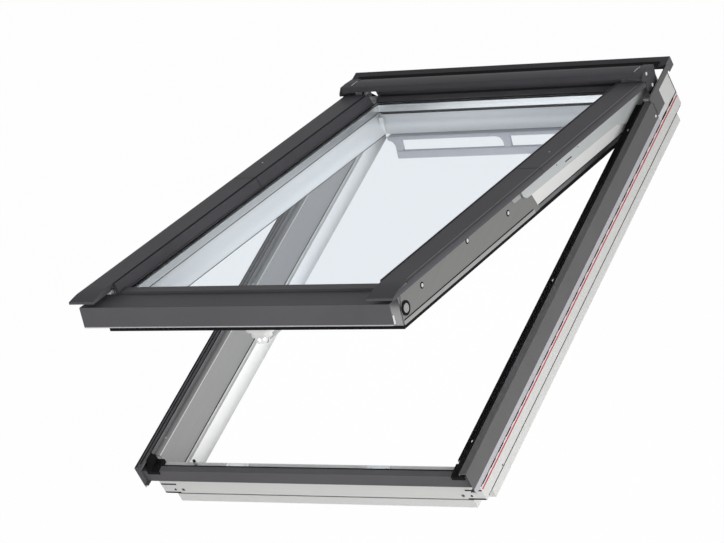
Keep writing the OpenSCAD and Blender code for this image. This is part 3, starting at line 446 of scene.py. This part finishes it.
# on the lifting arms; the covers on the arms and on the sash have the same groove and the same painted
# highlight along their outer edge
GROOVE = rect(321.2, 324.8, 17.1, 18.4)
COVER_HIGHLIGHT = rect(377.5, 378.4, 22.9, 23.45, 0.1)
hood_out = [(62.9, 30.4), (57.6, 42.4), (48.0, 43.3), (34.0, 43.9), (20.0, 43.3), (5.2, 42.2),
            (5.2, 34.6)]
hood_in = [(5.9, 34.6), (5.9, 41.1), (20.0, 42.5), (34.0, 43.05), (48.0, 42.5), (57.1, 41.2),
           (62.1, 30.4)]
Shape().pair(on_sash, "x", hood_out + hood_in, 361.0, 385.9).piece(
    "hood_cap", "arms", "dark_metal", casing_lacquer_painted_shade, 0.0003)
edge_out = [(50.0, 43.2), (34.0, 44.05), (21.0, 43.4), (21.0, 43.0), (34.0, 43.6), (50.0, 42.8)]
Shape().pair(on_sash, "x", edge_out, 360.1, 361.2).piece(
    "hood_cap_edge", "arms", "bright_steel", bright)
Shape().pair(on_sash, "a", GROOVE, 70, 543).piece(
    "upper_groove_strip", "arms", "black_rubber", black)
Shape().pair(on_sash, "a", COVER_HIGHLIGHT, 62, 543).piece(
    "upper_cover_painted_highlight", "arms", "bright_steel", flange_grey)
marks = Shape().pair(on_sash, "a", rect(358.9, 359.25, -20.6, -18.0, 0.1), 378, 407)
for side in SIDES:
    for s, z in ((443, -11.6), (344, -10.8)):
        marks.turned(on_sash(side * 359, s, z), side * ACROSS,
                     [(0.5, 0.0), (1.3, 0.2), (1.7, -0.05)])
marks.piece("arm_marks", "arms", "black_rubber", black)
rivets = Shape()
for side in SIDES:
    rivets.turned(on_sash(side * 357, 456, 23.2), SASH_OUT,
                  [(0.5, 0.45), (1.2, 0.3), (1.7, -0.05)])
rivets.piece("cover_rivets", "arms", "bright_steel", bright, 0.0, True)

# on the sash
Shape().pair(on_sash, "a", COVER_HIGHLIGHT, 547, 1104).piece(
    "lower_cover_painted_highlight", "sash", "bright_steel", flange_grey)
Shape().pair(on_sash, "x", rect(544.2, 545.8, 21.2, 22.9, 0.1), 326, 377).piece(
    "cover_seam", "sash", "black_rubber", black)
Shape().pair(on_sash, "a", rect(350.9, 352.0, -62.2, -60.6, 0.15), 60, 535).piece(
    "upper_side_line", "sash", "black_rubber", black)
Shape().pair(on_sash, "a", rect(350.9, 351.8, -70.9, -62.6, 0.15), 60, 535).piece(
    "upper_side_band", "sash", "satin_aluminium", flange_grey)
STOP_S, STOP_Z, STOP_R, STOP_STEPS = 624, -9, 11, 12
stop = [(597, 2), (597, -20)]
for k in range(STOP_STEPS + 1):
    a = math.pi * k / STOP_STEPS
    stop.append((STOP_S + STOP_R * math.sin(a), STOP_Z - STOP_R * math.cos(a)))
Shape().pair(on_sash, "x", stop, 352.9, 354.2).piece(
    "slide_end", "sash", "satin_aluminium", pale_alu, 0.0002)
top_strip = [(44.6, -26.02), (47.2, -26.02), (49.4, -31.6), (47.4, -31.6)]
Shape().prism(on_sash, "x", top_strip, -300, 300).piece("rail_strip", "sash", "black_rubber", black)
Shape().pair(on_sash, "a", GROOVE, 547, 1103).piece(
    "lower_groove_strip", "sash", "black_rubber", black)
line_and_shade_rings = Shape().pair(on_sash, "a", rect(352.9, 353.5, -62.2, -60.0, 0.15), 562, 1109)
# dark rings round the side screws: painted shade of their holes; the long line is real
for side in SIDES:
    for s, z in ((658.6, -28), (829, -15), (1022.1, -26)):
        line_and_shade_rings.turned(on_sash(side * 353, s, z), side * ACROSS,
                    [(4.3, -0.05), (4.4, 0.5), (6.3, 0.5), (7.0, -0.05)])
line_and_shade_rings.piece("side_marks_and_painted_shade", "sash", "black_rubber", black)
Shape().pair(on_sash, "a", rect(352.9, 353.3, -70.9, -62.6, 0.1), 556, 1110.5).piece(
    "side_band", "sash", "satin_aluminium", pale_alu)
centre = Shape()
for side in SIDES:
    centre.turned(on_sash(side * 354.95, 1096, -41), side * ACROSS,
                  [(1.0, 0.1), (3.2, 0.15), (3.8, 0.65), (8.2, 0.75), (9.4, 0.45), (9.6, 0.0)], 40)
centre.piece("cap_centre", "sash", "satin_aluminium", grey_plastic, 0.0, True)
hem = [(1163.6, -44.75), (1163.6, -45.4), (1171.0, -45.4), (1171.4, -45.0), (1171.4, -43.0),
       (1170.95, -42.8), (1170.95, -44.75)]
Shape().prism(on_sash, "x", hem, -368.5, 368.5).piece(
    "cover_hem", "sash", "satin_aluminium", lilac_plastic)


def frame_ring(shape, x0, x1, s0, s1, width, z0, z1):
    """A flat frame of the given outer size lying on the sash."""
    shape.pair(on_sash, "a", rect(x1 - width, x1, z0, z1, 0.2), s0 + width, s1 - width)
    shape.prism(on_sash, "x", rect(s0, s0 + width, z0, z1, 0.2), x0, x1)
    shape.prism(on_sash, "x", rect(s1 - width, s1, z0, z1, 0.2), x0, x1)


seal = Shape()
frame_ring(seal, -308.8, 308.8, 45.3, 1078.2, 2.4, -1.98, -0.9)
frame_ring(seal, -309.4, 309.4, 45.1, 1071.4, 3.2, -28.6, -26.02)
seal.piece("glass_seal", "sash", "black_rubber", black)
Shape().pair(on_sash, "a", rect(290.3, 291.5, -74.3, -73.0, 0.2), 66, 1052).piece(
    "rail_line", "sash", "black_rubber", black)
# grey sheets over the white sash timber in the bottom cover's open end: painted shade of that hollow
end_shade_plate = Shape().pair(on_sash, "x", rect(1112.8, 1113.6, -72.0, -3.5, 0.2), 322, 351.6)
end_shade_plate.pair(on_sash, "a", rect(350.8, 351.7, -72.0, -0.5, 0.2), 1092, 1113.6)
end_shade_plate.piece("rail_end_painted_shade", "sash", "satin_aluminium", flange_grey)
CORNER_X, CORNER_S, CORNER_R, CORNER_STEPS = 297.5, 57.0, 9, 6
corner = Shape()
for side in SIDES:
    outline = []
    for k in range(CORNER_STEPS + 1):
        a = math.pi / 2 * k / CORNER_STEPS
        outline.append((side * (CORNER_X - CORNER_R * math.sin(a)),
                        CORNER_S + CORNER_R * (1 - math.cos(a))))
    outline += [(side * 299.5, 66.0), (side * 299.5, 54.5), (side * CORNER_X, 54.5)]
    low = [on_sash(x, s, -72.5) for x, s in outline]
    high = [on_sash(x, s, -33.0) for x, s in outline]
    n = len(outline)
    corner.add(low + high, [[i, (i + 1) % n, n + (i + 1) % n, n + i] for i in range(n)]
               + [list(range(n)), list(range(n, 2 * n))])
corner.piece("rail_corner", "sash", "white_timber", sash_along_painted_light, 0.0004)


# floor, light and background
WHITE = (1.0, 1.0, 1.0, 1.0)
WORLD_LIGHT = 0.25
FLOOR_COLOR = (0.86, 0.86, 0.86, 1.0)
FLOOR_WHITE = 0.985
FLOOR_HALF = 9
FLOOR_Z = -0.001
AIM = (0.0, 0.0, 0.25)


def light_paths(tree):
    """A factor that is 1 for what the camera, a reflection or a view through glass shows."""
    path = tree.nodes.new("ShaderNodeLightPath")
    total = path.outputs["Is Camera Ray"]
    for name in ("Is Glossy Ray", "Is Transmission Ray"):
        top = tree.nodes.new("ShaderNodeMath")
        top.operation = "MAXIMUM"
        tree.links.new(total, top.inputs[0])
        tree.links.new(path.outputs[name], top.inputs[1])
        total = top.outputs["Value"]
    return total


world = bpy.data.worlds.new("studio")
world.use_nodes = True
scene.world = world
sky = world.node_tree
sky.nodes.clear()
soft = sky.nodes.new("ShaderNodeBackground")
soft.inputs["Color"].default_value = WHITE
soft.inputs["Strength"].default_value = WORLD_LIGHT
plain = sky.nodes.new("ShaderNodeBackground")
plain.inputs["Color"].default_value = WHITE
plain.inputs["Strength"].default_value = 1.0
either = sky.nodes.new("ShaderNodeMixShader")
out = sky.nodes.new("ShaderNodeOutputWorld")
sky.links.new(light_paths(sky), either.inputs["Fac"])
sky.links.new(soft.outputs["Background"], either.inputs[1])
sky.links.new(plain.outputs["Background"], either.inputs[2])
sky.links.new(either.outputs["Shader"], out.inputs["Surface"])

floor_mesh = bpy.data.meshes.new("floor")
floor_mesh.from_pydata([(x * FLOOR_HALF, y * FLOOR_HALF, FLOOR_Z) for x, y in
                        ((-1, -1), (1, -1), (1, 1), (-1, 1))], [], [(0, 1, 2, 3)])
floor = bpy.data.objects.new("floor", floor_mesh)
scene.collection.objects.link(floor)
floor_look = bpy.data.materials.new("pale_floor")
floor_look.use_nodes = True
tree = floor_look.node_tree
tree.nodes.clear()
matt = tree.nodes.new("ShaderNodeBsdfDiffuse")
matt.inputs["Color"].default_value = FLOOR_COLOR
glow = tree.nodes.new("ShaderNodeEmission")
glow.inputs["Color"].default_value = WHITE
glow.inputs["Strength"].default_value = 1.0
mix = tree.nodes.new("ShaderNodeMixShader")
part = tree.nodes.new("ShaderNodeMath")
part.operation = "MULTIPLY"
part.inputs[1].default_value = FLOOR_WHITE
floor_out = tree.nodes.new("ShaderNodeOutputMaterial")
tree.links.new(light_paths(tree), part.inputs[0])
tree.links.new(part.outputs["Value"], mix.inputs["Fac"])
tree.links.new(matt.outputs["BSDF"], mix.inputs[1])
tree.links.new(glow.outputs["Emission"], mix.inputs[2])
tree.links.new(mix.outputs["Shader"], floor_out.inputs["Surface"])
floor_mesh.materials.append(floor_look)


def soft_box(name, at, target, size, power):
    """A square area lamp that faces a point; the camera doesn't see it."""
    data = bpy.data.lights.new(name, "AREA")
    data.shape = "SQUARE"
    data.size = size
    data.energy = power
    lamp = bpy.data.objects.new(name, data)
    scene.collection.objects.link(lamp)
    lamp.location = at
    lamp.visible_camera = False
    lamp.rotation_euler = (Vector(target) - Vector(at)).to_track_quat("-Z", "Y").to_euler()
    return lamp


soft_box("key", (3.6, -2.1, 1.0), AIM, 2.2, 102.0)
soft_box("fill", (-2.6, -4.6, 1.6), AIM, 2.6, 56.0)
room = soft_box("room", (0.0, -0.02, 0.004), (0.0, -0.02, 1.0), 0.64, 3.0)
room.data.shape = "RECTANGLE"
room.data.size_y = 1.0
room.visible_glossy = False
room.visible_transmission = False
